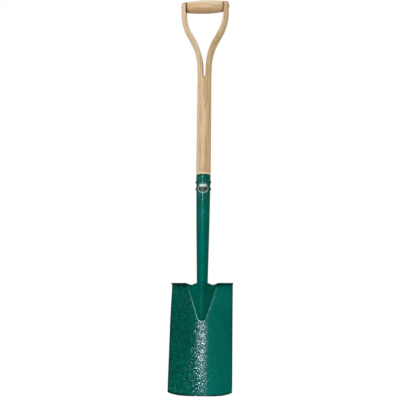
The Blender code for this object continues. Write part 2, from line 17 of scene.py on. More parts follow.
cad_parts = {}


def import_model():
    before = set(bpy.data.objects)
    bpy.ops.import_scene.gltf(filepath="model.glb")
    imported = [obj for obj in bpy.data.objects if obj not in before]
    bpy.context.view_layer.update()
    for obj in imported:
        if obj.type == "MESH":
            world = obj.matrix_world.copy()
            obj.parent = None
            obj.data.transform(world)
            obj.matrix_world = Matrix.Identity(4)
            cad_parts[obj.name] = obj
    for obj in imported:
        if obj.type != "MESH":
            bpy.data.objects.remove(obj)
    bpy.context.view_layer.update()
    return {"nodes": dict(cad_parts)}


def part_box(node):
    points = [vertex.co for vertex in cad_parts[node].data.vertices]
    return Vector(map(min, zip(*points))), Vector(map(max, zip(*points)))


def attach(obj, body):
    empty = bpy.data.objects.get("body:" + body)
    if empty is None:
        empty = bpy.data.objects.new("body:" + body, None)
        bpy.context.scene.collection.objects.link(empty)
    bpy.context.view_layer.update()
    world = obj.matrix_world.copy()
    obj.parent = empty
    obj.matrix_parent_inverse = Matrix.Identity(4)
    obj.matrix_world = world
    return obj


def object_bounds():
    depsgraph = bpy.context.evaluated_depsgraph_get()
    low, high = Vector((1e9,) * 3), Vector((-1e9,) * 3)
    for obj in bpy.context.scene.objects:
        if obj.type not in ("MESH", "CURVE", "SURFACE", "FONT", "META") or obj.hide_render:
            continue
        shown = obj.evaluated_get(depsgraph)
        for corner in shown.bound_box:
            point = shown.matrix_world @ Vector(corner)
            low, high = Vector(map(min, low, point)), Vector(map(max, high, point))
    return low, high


# Camera, as fitted to the photograph. Sensor and lens are in millimetres.
CAMERA_AZIMUTH = 6.0
CAMERA_ELEVATION = -12.0
CAMERA_ROLL = 0.6135
CAMERA_DISTANCE = 2.0
CAMERA_TARGET = (0, 0, -0.471)
CAMERA_SENSOR = 36
CAMERA_LENS = 76.455
AIM_LEFT = 0.00746
AIM_DOWN = 0.00056

# Floor and world. The floor glows more the further it is from the spade.
FLOOR_DROP = 0.06
FLOOR_RADIUS = 14
FLOOR_SIDES = 96
FLOOR_GREY = (0.72, 0.72, 0.72, 1)
FLOOR_GLOW = (0.3, 1.8, 0.45, 1)
WORLD_LIGHT = 0.5
WHITE = (1, 1, 1, 1)

# Lamps, which all face one point. The strip lamp is there for the gloss alone.
LAMP_CENTRE = (0, 0, -0.5)
KEY_LAMP = {"azimuth": -58, "elevation": 22, "distance": 2.4, "wide": 0.7, "high": 1.3, "watts": 20}
FRONT_LAMP = {"azimuth": -6, "elevation": 38, "distance": 2.6, "wide": 1.0, "high": 0.8, "watts": 16}
FILL_LAMP = {"azimuth": 60, "elevation": 12, "distance": 2.4, "wide": 0.8, "high": 1.2, "watts": 12}
STRIP_LAMP = {"azimuth": -6.9, "elevation": 9.7, "distance": 2.5, "wide": 0.09, "high": 0.8, "watts": 130}
STRIP_COLOUR = (0.76, 0.74, 1)

# Colours of the wood.
ASH_PALE = (214, 189, 151)
ASH_MID = (203, 173, 129)
ASH_DARK = (172, 134, 86)
ASH_PINK = (208, 165, 126)
ASH_GREY = (184, 171, 136)
ASH_PORE = (140, 104, 66)
# Painted light on the grip's top and on the shaft's left side.
ASH_PAINTED_LIGHT = (220, 207, 182)
GRIP_WARM = (202, 158, 108)
# Painted light on the grip's underside.
GRIP_UNDER_PAINTED_LIGHT = (212, 184, 144)
# Painted shade along the grip's lowest edge.
GRIP_EDGE_PAINTED_SHADE = (112, 98, 82)
# Stain and painted shade where the grip goes into the arms.
JOINT_STAIN_AND_SHADE = (104, 72, 34)
SHOULDER_PALE = (236, 220, 184)
WEDGE_GREY = (164, 158, 132)

# Colours of paint, steel and sticker.
PAINT_DEEP = (0, 60, 46)
PAINT_GREEN = (0, 86, 73)
PAINT_LIGHT = (10, 116, 100)
PAINT_SPECK = (15, 49, 36)
# Painted shade along the blade's edges; it also darkens the socket's rim.
PAINT_EDGE = (0, 40, 32)
# Painted highlight along the frog's outline.
PAINT_LINE_HIGHLIGHT = (96, 176, 156)
STEEL_GREY = (118, 112, 104)
STEEL_DARK = (64, 60, 55)
LABEL_RIM = (190, 228, 212)
LABEL_RIM_TOP = (88, 140, 126)
LABEL_FIELD = (22, 96, 80)
LABEL_BAR = (190, 206, 196)
LABEL_BAND = (44, 48, 42)

# Where the middle of the tree was from each piece of ash, with its grain along Z.
SHAFT_PITH = (-0.012, 0.055)
GRIP_PITH = (0.05, 0.04)
WEDGE_PITH = (0.02, -0.03)

# A number for each piece that gives it year rings of its own.
SHAFT_RINGS = 0.3
GRIP_RINGS = 1.7
WEDGE_RINGS = 2.9

# Year rings: how close they are, how they wander, and where in each the early wood is.
RINGS_PER_METRE = 240
RING_WANDER = 3.2
WANDER_SCALE = 55
WANDER_DETAIL = 3
WANDER_ALONG = 0.16
EARLY_WOOD_START = (0.0, 0.12)
EARLY_WOOD_END = (0.2, 0.75, 1, 0)

# Textures of the wood: how many to a metre across and along the grain, their detail and roughness.
FIBRES = (900, 14, 3, 0.6)
STREAKS = (280, 6, 2, 0.55)
PATCHES = (60, 9, 1)
PORES = (2600, 110, 1)

# How much each texture changes the wood.
STREAK_SHARE = (0.34, 0.66)
EARLY_WOOD_SHARE = 0.5
FIBRE_SHARE = (0.35, 0.8, 0, 0.35)
PINK_SHARE = (0.5, 0.72, 0, 0.55)
GREY_SHARE = (0.46, 0.28, 0, 0.35)
PITTED = (0.56, 0.72)
PITTED_SHARE = 0.7
ASH_ROUGHNESS = (0.2, 0.8, 0.42, 0.6)

# How far the shaft's halves are bent is measured at one height more than this.
BEND_STEPS = 12

# Marks on the grip, most of them painted light and painted shade, by height as a share of its
# thickness, and by place across.
GRIP_PAINTED_LIGHT_HIGH = (0.4, 0.8, 0.05, 0.85)
GRIP_WARM_HIGH = (0.75, 0.5)
GRIP_WARM_ACROSS = (0.01, -0.03, 0, 0.6)
GRIP_UNDER_PAINTED_LIGHT_LOW = (0.25, 0, 0, 0.5)
GRIP_EDGE_PAINTED_SHADE_LOW = (0.09, 0.03, 0, 0.2)

# The grip goes into the arms by ARM_SEAT, and both are stained and painted with shade there,
# by distance past that joint.
ARM_SEAT = 0.004
GRIP_STAIN_AND_SHADE = (-0.005, -0.0005)
GRIP_STAIN_AND_SHADE_SIDES = (-0.01, 0.01, 1, 0.6)
ARM_STAIN_AND_SHADE = (0.002, 0.0005)
ARM_STAIN_AND_SHADE_SIDES = (-0.01, 0.01, 0.9, 0.5)
ARM_STAIN_AND_SHADE_UP = (-0.002, 0.001)

# Marks on the shaft, by height above the socket and by place across, and the wedge's greyness.
SHOULDER_BAND = (0.0048, 0.0036, 0, 0.8)
# The groove is a fine dark line, painted shade.
GROOVE_HEIGHT = 0.0055
GROOVE = (0.001, 0.0003, 0, 0.5)
# Painted light on the shaft's left side.
SHAFT_PAINTED_LIGHT_LEFT = (-0.006, -0.014, 0, 0.25)
WEDGE_SHARE = 0.75

# Hammer finish: a dimple is about 1 / HAMMER_SCALE metres across, and each one leans its own way.
# They lean most at the left of the blade and low on it. The flakes of metal lean more than the coat.
HAMMER_SCALE = 540
DIMPLE_SCATTER = 0.8
DIMPLE_DEPTH = 0.00004
DIMPLE_LEAN = 0.045
FLAKE_LEAN = 0.3
LEAN_ACROSS = (-0.03, 0.012, 3.4, 0.6)
LEAN_DOWN = (0.2524, 0.1124, 1.4, 0.6)
LEAN_BY_CELL = (0.3, 1, 0.7, 2)

# Gloss and tones, by distance from a dimple's edge, by the dimple's own tone and by place across,
# and the wide clouds of a deeper tone.
DIMPLE_GLOSS = (0.06, 0.24, 0, 0.16)
GLOSS_BY_CELL = (0.2, 0.95, 0.2, 1)
DIMPLE_EDGES = (0.0, 0.3, 1, 0)
EDGES_ACROSS = (-0.03, 0.02, 1, 0.5)
LIGHT_CELLS = (0.6, 1, 0, 0.4)
CLOUD_SCALE = 26
CLOUD_DETAIL = 3
DEEP_CLOUDS = (0.35, 0.7, 0, 0.25)

# How light the paint is on the pieces. The blade's level is 1.
# The socket's paint is a lighter copy of the blade's paint: painted light.
SOCKET_PAINTED_LIGHT_LEVEL = 1.08
RIVET_LEVEL = 0.55
WELD_LEVEL = 0.95

# The outlines of the blade and its frog as seen from the front. Drops are below the blade's top.
BLADE_SIDE_SLOPE = 0.0055
BLADE_BOW = 0.0081
FROG_SLOPE = 0.3191
FROG_APEX_DROP = 0.1112
FROG_TIP_DROP = 0.0873
FROG_TIP_CURVE = 36
FROG_TIP_BLEND = 0.004

# The blade's tones, by place across and by drop, and by distance inside the frog and the rim.
# Most are painted light and painted shade; the specks are the paint's own.
# Painted light low on the left of the blade.
PAINTED_LIGHT_ACROSS = (-0.03, 0.012, 1, 0)
PAINTED_LIGHT_DOWN = (0.1324, 0.2324, 0.1, 0.4)
# Painted shade high up on the blade.
SHADE_ACROSS = (-0.065, 0.01, 0.38, 0.6)
SHADE_DOWN = (0.2624, 0.0824)
SPECK_SCALE = 400
SPECKS = (0.46, 0.58)
SPECKS_ACROSS = (-0.03, 0.0, 0.5, 0.06)
FROG_EDGE = (-0.001, 0.001)
# Painted shade on the frog's right flank.
FROG_FLANK_PAINTED_SHADE = (0.001, 0.004, 0, 0.45)
# Painted shade along the blade's sides and bottom.
BLADE_RIM_PAINTED_SHADE = (0.0005, 0.0042, 0.85, 0)

# The painted highlight along the frog's outline, on the blade's front alone, broken up unevenly.
LINE_OFFSET = 0.0006
LINE_WIDTH = (0.0013, 0.0004)
LINE_START = (0.0004, 0.0124)
LINE_FACING = (0.1, -0.3)
LINE_BREAK_SCALE = 340
LINE_BREAKS = (0.3, 0.65, 0.45, 1)
LINE_DOWN = (0.0224, 0.0724, 0.75, 1.5)
LINE_TONE = (-0.004, 0.006, 0.55, 0.22)
LINE_GLOSS = (-0.008, 0.004, 0.06, 0)

# The blade's gloss, which is dull at the left, near the top and in the crease round the frog.
GLOSS_DOWN = (0.0074, 0.0324)
GLOSS_ACROSS = (-0.03, -0.006, 0.2, 1)
CREASE_WIDTH = (0.007, 0.003)
CREASE_ACROSS = (0.004, 0.01)
CREASE_DULLNESS = 0.85

# The socket's tones and gloss, by place across and by drop below its top.
SOCKET_RIM = (0.0035, 0.001, 0, 0.7)
# Painted shade high up on the socket, away from its left side.
SOCKET_SHADE_DOWN = (0.0828, 0.0578)
SOCKET_SHADE_ACROSS = (-0.011, -0.003, 0, 0.45)
SOCKET_FADE = (0.1778, 0.1178)
SOCKET_DOTTED = (0.0798, 0.0498, 0.45, 1.5)
SOCKET_UNBROKEN = (0.0798, 0.0498, 0.001, 0.01)

# Dark steel.
BLOTCH_SCALE = 420
BLOTCH_DETAIL = 4
BLOTCH_ROUGHNESS = 0.65
BLOTCHES = (0.35, 0.7)
RUBBED_SMOOTH = (0.3, 0.7, 0.62, 0.42)
SCRATCH_STRETCH = (300, 3000, 3000)

# Oval sticker on the front of the socket, placed by its drop below the socket's top and its turn
# round it. At LABEL_SKIRT of its size, its edge turns down into the paint. Its faces lie in rings,
# with as many in each as it has spokes.
LABEL_DROP = 0.0328
LABEL_WIDTH = 0.0268
LABEL_HEIGHT = 0.0252
LABEL_TURN = 3
LABEL_THICKNESS = 0.00015
LABEL_SKIRT = 1.004
LABEL_RINGS = 8
LABEL_SPOKES = 48

# What is printed on the sticker, in halves of its width and height from its middle.
BAR_MIDDLE = 0.42
BAR_UP = (0.27, 0.23)
BAR_ACROSS = (0.66, 0.6)
BAND_MIDDLE = -0.27
BAND_UP = (0.38, 0.33)
PRINTED_RIM = (0.88, 0.92)
RIM_TONE = (0.5, -0.9)
STICKER_WEAR_SCALE = 9
STICKER_WEAR = (0.55, 0.8, 0, 0.15)
STICKER_ROUGHNESS = (0.3, 0.7, 0.4, 0.5)

# Faces that meet at less than this angle are shaded as one smooth surface.
SMOOTH_ANGLE = 28
MERGE_DISTANCE = 1e-6

# Weld beads: how blunt their ends are, how soon they are full, and how high the ripples stand.
# A bead is steep where at least BEAD_STEEP of its direction is upwards or downwards.
BEAD_SIDES = 10
BEAD_BLUNTNESS = 0.02
BEAD_SWELL = 12
BEAD_RIPPLE = 0.09
BEAD_STEEP = 0.7

# The bead that closes the seam between the socket and the top of the blade. It goes as far as
# SEAM_TURN to each side of the front, and the socket's radius is measured SEAM_PROBE above it.
SEAM_LIFT = 0.0003
SEAM_OFFSET = -0.0001
SEAM_PROBE = 0.001
SEAM_TURN = 72
SEAM_RADIUS = 0.0008
SEAM_STEPS = 80
SEAM_RIPPLES = 19

# The beads at the sides of the socket's tail, which stand out further as they go down.
TAIL_WELD_TURN = 60
TAIL_WELD_OFFSET = 0.0007
TAIL_WELD_START = 0.4
TAIL_WELD_RADIUS = 0.0014
TAIL_WELD_DROP = 0.004
TAIL_WELD_LENGTH = 0.0175
TAIL_WELD_STEPS = 40
TAIL_WELD_RIPPLES = 9


def srgb(colour):
    """A colour of 0 to 255 a channel, as the linear colour that Blender takes."""
    linear = []
    for channel in colour:
        share = channel / 255
        linear.append(share / 12.92 if share <= 0.04045 else ((share + 0.055) / 1.055) ** 2.4)
    return (*linear, 1)


def direction(azimuth, elevation):
    """The unit vector from the spade towards an azimuth and elevation."""
    turn, rise = radians(azimuth), radians(elevation)
    return Vector((sin(turn) * cos(rise), -cos(turn) * cos(rise), sin(rise)))


def around(reach, turn, height):
    """The point at a distance from the spade's axis, a turn in radians from its front, and a height."""
    return Vector((reach * sin(turn), -reach * cos(turn), height))


def add_node(tree, kind, feeds, **settings):
    """Adds a node to a tree. feeds has each input's link or value, and settings its properties."""
    node = tree.nodes.new(kind)
    for name, value in settings.items():
        setattr(node, name, value)
    for name, value in feeds.items():
        if isinstance(value, bpy.types.NodeSocket):
            tree.links.new(value, node.inputs[name])
        else:
            node.inputs[name].default_value = value
    return node


class Graph:
    """The shader nodes of a material or world. Apart from add and finish, each method adds one step
    and gives its output, or its several outputs, to feed to the next."""

    def __init__(self, owner):
        owner.use_nodes = True
        self.owner = owner
        self.tree = owner.node_tree
        self.tree.nodes.clear()

    def add(self, kind, feeds, **settings):
        return add_node(self.tree, "ShaderNode" + kind, feeds, **settings)

    def place(self):
        """Where the point is in the shared frame, in metres."""
        return self.add("TexCoord", {}).outputs["Object"]

    def axes(self, vector):
        return self.add("SeparateXYZ", {0: vector}).outputs

    def vector(self, x, y, z):
        return self.add("CombineXYZ", {0: x, 1: y, 2: z}).outputs[0]

    def vector_maths(self, operation, a, b):
        outputs = self.add("VectorMath", {0: a, 1: b}, operation=operation).outputs
        return outputs["Value" if operation == "DOT_PRODUCT" else "Vector"]

    def maths(self, operation, a, b=0.0, c=0.0):
        return self.add("Math", {0: a, 1: b, 2: c}, operation=operation).outputs[0]

    def plus(self, a, b):
        return self.maths("ADD", a, b)

    def minus(self, a, b):
        return self.maths("SUBTRACT", a, b)

    def times(self, product, *others):
        """The product of all the values."""
        for other in others:
            product = self.maths("MULTIPLY", product, other)
        return product

    def square(self, value):
        return self.maths("POWER", value, 2)

    def size(self, value):
        """The value without its sign."""
        return self.maths("ABSOLUTE", value)

    def distance(self, a, b):
        """How far the point (a, b) is from (0, 0)."""
        return self.maths("SQRT", self.plus(self.square(a), self.square(b)))

    def share(self, value, low, high, start=0.0, end=1.0):
        """Where value lies from low to high, as start to end with soft ends."""
        feeds = {"Value": value, "From Min": low, "From Max": high, "To Min": start, "To Max": end}
        return self.add("MapRange", feeds, interpolation_type="SMOOTHSTEP").outputs[0]

    def even_share(self, value, low, high, start=0.0, end=1.0):
        """Where value lies from low to high, as start to end along a straight line."""
        output = self.share(value, low, high, start, end)
        output.node.interpolation_type = "LINEAR"
        return output

    def noise(self, vector, scale, detail=2.0, roughness=0.5):
        feeds = {"Vector": vector, "Scale": scale, "Detail": detail, "Roughness": roughness}
        return self.add("TexNoise", feeds).outputs[0]

    def stretched_noise(self, vector, stretch, detail, roughness=0.5):
        """Noise with its own scale along each axis."""
        stretched = self.add("Mapping", {"Vector": vector, "Scale": stretch}).outputs[0]
        return self.noise(stretched, 1, detail, roughness)

    def grain(self, vector, across, along, detail, roughness=0.5):
        """Noise drawn out along Z."""
        return self.stretched_noise(vector, (across, across, along), detail, roughness)

    def cells(self, vector, scale, feature, randomness):
        feeds = {"Vector": vector, "Scale": scale, "Randomness": randomness}
        return self.add("TexVoronoi", feeds, feature=feature).outputs

    def mix(self, share, a, b):
        """Colour a with a share of colour b."""
        return self.add("Mix", {0: share, 6: a, 7: b}, data_type="RGBA").outputs[2]

    def bump(self, height, strength, distance):
        feeds = {"Height": height, "Strength": strength, "Distance": distance}
        return self.add("Bump", feeds).outputs[0]

    def seen(self):
        """1 for what the camera, a mirror or glass shows, and 0 for what lights the spade."""
        path = self.add("LightPath", {}).outputs
        mirrored = self.maths("MAXIMUM", path["Is Glossy Ray"], path["Is Transmission Ray"])
        return self.maths("MAXIMUM", path["Is Camera Ray"], mirrored)

    def finish(self, **feeds):
        """The Principled shader, from its sockets' names with _ for a space. Gives the material."""
        named = {name.replace("_", " "): value for name, value in feeds.items()}
        shader = self.add("BsdfPrincipled", named)
        self.add("OutputMaterial", {"Surface": shader.outputs[0]})
        return self.owner


def new_material(name):
    """The empty graph of a new material."""
    return Graph(bpy.data.materials.new(name))


# Wood


def arm_shifts(shaft):
    """The lowest and highest height of the bent part of the shaft, and how far each half of it has
    been bent away from where it was sawn, at even heights between them."""
    low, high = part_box("fork_wedge")[0].z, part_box("shaft")[1].z
    gap = (high - low) / BEND_STEPS
    right_half = [vertex.co for vertex in shaft.data.vertices if vertex.co.x > 0]
    shifts = []
    for step in range(BEND_STEPS + 1):
        height = low + gap * step
        across = [place.x for place in right_half if abs(place.z - height) < gap / 2]
        shifts.append((min(across) + max(across)) / 2)
    return low, high, [shift - shifts[0] for shift in shifts]


def unbent(graph, place, shaft):
    """The point's place in the shaft as it was before its two halves were bent apart."""
    x, y, z = graph.axes(place)
    low, high, shifts = arm_shifts(shaft)
    largest = max(shifts)
    curve = graph.add("FloatCurve", {"Value": graph.even_share(z, low, high)})
    points = curve.mapping.curves[0].points
    for step, shift in enumerate(shifts):
        at = (step / BEND_STEPS, max(0, shift) / largest)
        if step == 0:
            points[0].location = at
        elif step == BEND_STEPS:
            points[-1].location = at
        else:
            points.new(*at)
    curve.mapping.update()
    away = graph.times(curve.outputs[0], largest)
    return graph.vector(graph.times(graph.minus(graph.size(x), away), graph.maths("SIGN", x)), y, z)


def past_joint(graph, across):
    """How far out a point is past the place where the grip meets the arm on its side."""
    return graph.minus(graph.size(across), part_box("grip")[1].x - ARM_SEAT)


def grip_marks(graph, place, colour):
    """The grip is palest on top, with painted light there and low down, and darker along its lowest
    edge, with painted shade. Where it goes into the arms it is stained and painted with shade.
    """
    across, _, up = graph.axes(place)
    height = graph.maths("DIVIDE", up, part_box("grip")[1].z)
    # Painted light on top.
    colour = graph.mix(graph.share(height, *GRIP_PAINTED_LIGHT_HIGH), colour, srgb(ASH_PAINTED_LIGHT))
    warm = graph.times(graph.share(across, *GRIP_WARM_ACROSS), graph.share(height, *GRIP_WARM_HIGH))
    colour = graph.mix(warm, colour, srgb(GRIP_WARM))
    # Painted light low down, and painted shade along the lowest edge.
    colour = graph.mix(graph.share(height, *GRIP_UNDER_PAINTED_LIGHT_LOW), colour, srgb(GRIP_UNDER_PAINTED_LIGHT))
    colour = graph.mix(graph.share(height, *GRIP_EDGE_PAINTED_SHADE_LOW), colour, srgb(GRIP_EDGE_PAINTED_SHADE))
    # Stain and painted shade where the grip goes into the arms.
    stain_and_shade = graph.share(past_joint(graph, across), *GRIP_STAIN_AND_SHADE)
    stain_and_shade = graph.times(stain_and_shade, graph.share(across, *GRIP_STAIN_AND_SHADE_SIDES))
    return graph.mix(stain_and_shade, colour, srgb(JOINT_STAIN_AND_SHADE))


def shaft_marks(graph, place, colour):
    """The shaft has a pale band just above the socket, with a fine dark line above it that is the
    painted shade of a groove. It has painted light at its left, and its arms are stained and painted
    with shade beside the grip."""
    across, _, up = graph.axes(place)
    above = graph.minus(up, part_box("socket")[1].z)
    colour = graph.mix(graph.share(above, *SHOULDER_BAND), colour, srgb(SHOULDER_PALE))
    # Painted shade of a fine groove.
    from_groove = graph.size(graph.minus(above, GROOVE_HEIGHT))
    colour = graph.mix(graph.share(from_groove, *GROOVE), colour, srgb(ASH_DARK))
    # Painted light on the left side.
    colour = graph.mix(graph.share(across, *SHAFT_PAINTED_LIGHT_LEFT), colour, srgb(ASH_PAINTED_LIGHT))
    # Stain and painted shade on the arms beside the grip.
    stain_and_shade = graph.times(graph.share(past_joint(graph, across), *ARM_STAIN_AND_SHADE), graph.share(up, *ARM_STAIN_AND_SHADE_UP))
    stain_and_shade = graph.times(stain_and_shade, graph.share(across, *ARM_STAIN_AND_SHADE_SIDES))
    return graph.mix(stain_and_shade, colour, srgb(JOINT_STAIN_AND_SHADE))


def wedge_marks(graph, place, colour):
    """The wedge is greyer than the shaft all over."""
    return graph.mix(WEDGE_SHARE, colour, srgb(WEDGE_GREY))


def ash(name, straight, pith, rings, marks):
    """Ash wood. straight takes the graph and a place, and gives the place with the grain along Z.
    pith and rings set the year rings. marks adds what the piece has at some places only, and the
    light and shade that are painted there."""
    graph = new_material(name)
    place = graph.place()
    grain = straight(graph, place)
    x, y, z = graph.axes(grain)
    drawn_out = graph.vector(graph.plus(x, rings), y, graph.times(z, WANDER_ALONG))
    wander = graph.noise(drawn_out, WANDER_SCALE, WANDER_DETAIL)
    radius = graph.distance(graph.minus(x, pith[0]), graph.minus(y, pith[1]))
    year = graph.maths("MULTIPLY_ADD", wander, RING_WANDER, graph.times(radius, RINGS_PER_METRE))
    ring = graph.maths("FRACT", year)
    early = graph.times(graph.share(ring, *EARLY_WOOD_START), graph.share(ring, *EARLY_WOOD_END))
    fibres = graph.grain(grain, *FIBRES)
    streaks = graph.grain(grain, *STREAKS)
    patches = graph.grain(grain, *PATCHES)
    pitted = graph.times(graph.share(graph.grain(grain, *PORES), *PITTED), early)
    colour = graph.mix(graph.share(streaks, *STREAK_SHARE), srgb(ASH_PALE), srgb(ASH_MID))
    colour = graph.mix(graph.times(early, EARLY_WOOD_SHARE), colour, srgb(ASH_DARK))
    colour = graph.mix(graph.share(fibres, *FIBRE_SHARE), colour, srgb(ASH_DARK))
    colour = graph.mix(graph.share(patches, *PINK_SHARE), colour, srgb(ASH_PINK))
    colour = graph.mix(graph.share(patches, *GREY_SHARE), colour, srgb(ASH_GREY))
    colour = graph.mix(graph.times(pitted, PITTED_SHARE), colour, srgb(ASH_PORE))
    return graph.finish(
        Base_Color=marks(graph, place, colour),
        Roughness=graph.share(fibres, *ASH_ROUGHNESS),
        Specular_IOR_Level=0.12,
        Normal=graph.bump(graph.minus(fibres, pitted), strength=0.25, distance=0.0002),
    )


# Paint


def paint_shades(level):
    """The three tones of the paint, made lighter or darker by level, as linear colours."""
    tones = {"deep": PAINT_DEEP, "green": PAINT_GREEN, "light": PAINT_LIGHT}
    shades = {}
    for name, tone in tones.items():
        red, green, blue, _ = srgb(tone)
        shades[name] = (red * level, green * level, blue * level, 1)
    return shades


def drop_below(graph, node, up):
    """How far a height is below the top of a CAD node."""
    return graph.minus(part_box(node)[1].z, up)


def rim_distance(graph, across, up):
    """How far a point on the blade is from its nearer side or its bottom edge, seen from the front."""
    low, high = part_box("blade")
    narrowing = BLADE_SIDE_SLOPE * (high.z - low.z)
    side = graph.minus(graph.even_share(up, low.z, high.z, high.x, high.x - narrowing), graph.size(across))
    bow = graph.times(graph.square(across), BLADE_BOW / high.x ** 2)
    bottom = graph.minus(graph.minus(up, low.z), bow)
    return graph.maths("MINIMUM", side, bottom)


def frog_inset(graph, across, drop):
    """How far a point on the blade is inside the frog's outline, a V with a round tip."""
    half_width = graph.times(graph.minus(FROG_APEX_DROP, drop), FROG_SLOPE)
    from_side = graph.minus(half_width, graph.size(across))
    above_tip = graph.minus(FROG_TIP_DROP, drop)
    from_tip = graph.minus(above_tip, graph.times(graph.square(across), FROG_TIP_CURVE))
    return graph.maths("SMOOTH_MIN", from_side, from_tip, FROG_TIP_BLEND)


def frog_line(graph, place, drop, inset):
    """How much a point is on the painted highlight along the frog's outline, which is broken
    up unevenly.
    """
    line = graph.share(graph.size(graph.plus(inset, LINE_OFFSET)), *LINE_WIDTH)
    facing = graph.axes(graph.add("TexCoord", {}).outputs["Normal"])[1]
    line = graph.times(line, graph.share(drop, *LINE_START), graph.share(facing, *LINE_FACING))
    line = graph.times(line, graph.share(graph.noise(place, LINE_BREAK_SCALE), *LINE_BREAKS))
    return graph.times(line, graph.share(drop, *LINE_DOWN))


def blade_tones_and_painted_light(graph, place, colour, shades):
    """The blade's paint: painted light low on the left, painted shade high up, along the edges and on
    the frog's right flank, specks, and a painted highlight along the frog's outline. Gives the colour,
    the share of the dotted gloss and the unbroken gloss."""
    across, _, up = graph.axes(place)
    drop = drop_below(graph, "blade", up)
    inset = frog_inset(graph, across, drop)
    on_frog = graph.share(inset, *FROG_EDGE)
    off_frog = graph.minus(1, on_frog)
    # Painted light low on the left.
    light = graph.times(graph.share(across, *PAINTED_LIGHT_ACROSS), graph.share(drop, *PAINTED_LIGHT_DOWN))
    colour = graph.mix(light, colour, shades["light"])
    # Painted shade high up.
    shade = graph.times(graph.share(drop, *SHADE_DOWN), graph.share(across, *SHADE_ACROSS))
    colour = graph.mix(graph.times(shade, off_frog), colour, shades["deep"])
    specks = graph.share(graph.noise(place, SPECK_SCALE, detail=0), *SPECKS)
    specks = graph.times(specks, graph.share(across, *SPECKS_ACROSS))
    colour = graph.mix(graph.times(specks, off_frog), colour, srgb(PAINT_SPECK))
    # Painted shade on the frog's right flank.
    colour = graph.mix(graph.times(on_frog, graph.share(across, *FROG_FLANK_PAINTED_SHADE)), colour, shades["deep"])
    # Painted shade along the blade's sides and bottom.
    colour = graph.mix(graph.share(rim_distance(graph, across, up), *BLADE_RIM_PAINTED_SHADE), colour, srgb(PAINT_EDGE))
    # Painted highlight along the frog's outline.
    line = frog_line(graph, place, drop, inset)
    colour = graph.mix(graph.times(line, graph.share(across, *LINE_TONE)), colour, srgb(PAINT_LINE_HIGHLIGHT))
    dotted = graph.times(graph.share(drop, *GLOSS_DOWN), graph.share(across, *GLOSS_ACROSS))
    crease = graph.share(graph.size(inset), *CREASE_WIDTH)
    crease = graph.times(crease, graph.share(graph.size(across), *CREASE_ACROSS))
    dotted = graph.maths("MULTIPLY_ADD", graph.times(crease, dotted), -CREASE_DULLNESS, dotted)
    return colour, dotted, graph.times(line, graph.share(across, *LINE_GLOSS))


def socket_painted_shade_and_gloss(graph, place, colour, shades):
    """The socket's paint: painted shade high up except at its left, round the sticker, darker along
    the rim, and glossy high up only. Gives the same three things as the blade's paint."""
    across, _, up = graph.axes(place)
    drop = drop_below(graph, "socket", up)
    # Painted shade high up, away from the socket's left side.
    shade = graph.times(graph.share(drop, *SOCKET_SHADE_DOWN), graph.share(across, *SOCKET_SHADE_ACROSS))
    colour = graph.mix(shade, colour, shades["deep"])
    colour = graph.mix(graph.share(drop, *SOCKET_RIM), colour, srgb(PAINT_EDGE))
    fade = graph.share(drop, *SOCKET_FADE)
    dotted = graph.times(fade, graph.share(drop, *SOCKET_DOTTED))
    return colour, dotted, graph.times(fade, graph.share(drop, *SOCKET_UNBROKEN))


def dimple_lean(graph, place, cell):
    """How much higher a point is because its dimple leans its own way, before that is scaled."""
    across, _, up = graph.axes(place)
    from_middle = graph.vector_maths("SUBTRACT", place, cell["Position"])
    own_way = graph.vector_maths("SUBTRACT", cell["Color"], (0.5, 0.5, 0.5))
    lean = graph.vector_maths("DOT_PRODUCT", from_middle, own_way)
    lean = graph.times(lean, graph.share(across, *LEAN_ACROSS))
    lean = graph.times(lean, graph.share(drop_below(graph, "blade", up), *LEAN_DOWN))
    return graph.times(lean, graph.share(graph.axes(cell["Color"])[1], *LEAN_BY_CELL))


def hammered_paint(name, level, wear=None):
    """Green metallic paint that has drawn itself into dimples with darker lines between them.
    level is how light it is. wear changes its colour and gloss from place to place, and paints light
    and shade on it."""
    shades = paint_shades(level)
    graph = new_material(name)
    place = graph.place()
    across = graph.axes(place)[0]
    cell = graph.cells(place, HAMMER_SCALE, "F1", DIMPLE_SCATTER)
    edge = graph.cells(place, HAMMER_SCALE, "DISTANCE_TO_EDGE", DIMPLE_SCATTER)[0]
    tone = graph.axes(cell["Color"])[0]
    lean = dimple_lean(graph, place, cell)
    dimple = graph.times(graph.square(cell["Distance"]), -DIMPLE_DEPTH)
    gloss = graph.times(graph.share(edge, *DIMPLE_GLOSS), graph.share(tone, *GLOSS_BY_CELL))
    lines = graph.times(graph.share(edge, *DIMPLE_EDGES), graph.share(across, *EDGES_ACROSS))
    colour = graph.mix(lines, shades["green"], shades["deep"])
    colour = graph.mix(graph.share(tone, *LIGHT_CELLS), colour, shades["light"])
    clouds = graph.noise(place, CLOUD_SCALE, CLOUD_DETAIL)
    colour = graph.mix(graph.share(clouds, *DEEP_CLOUDS), colour, shades["deep"])
    if wear:
        colour, dotted, unbroken = wear(graph, place, colour, shades)
        gloss = graph.maths("MULTIPLY_ADD", gloss, dotted, unbroken)
    coat = graph.maths("MULTIPLY_ADD", lean, DIMPLE_LEAN, dimple)
    flakes = graph.maths("MULTIPLY_ADD", lean, FLAKE_LEAN, dimple)
    return graph.finish(
        Base_Color=colour,
        Metallic=0.4,
        Roughness=0.6,
        Specular_IOR_Level=0.0,
        Coat_Weight=gloss,
        Coat_Roughness=0.11,
        Coat_Normal=graph.bump(coat, strength=1, distance=1),
        Normal=graph.bump(flakes, strength=1, distance=1),
    )


# Steel, sticker and floor


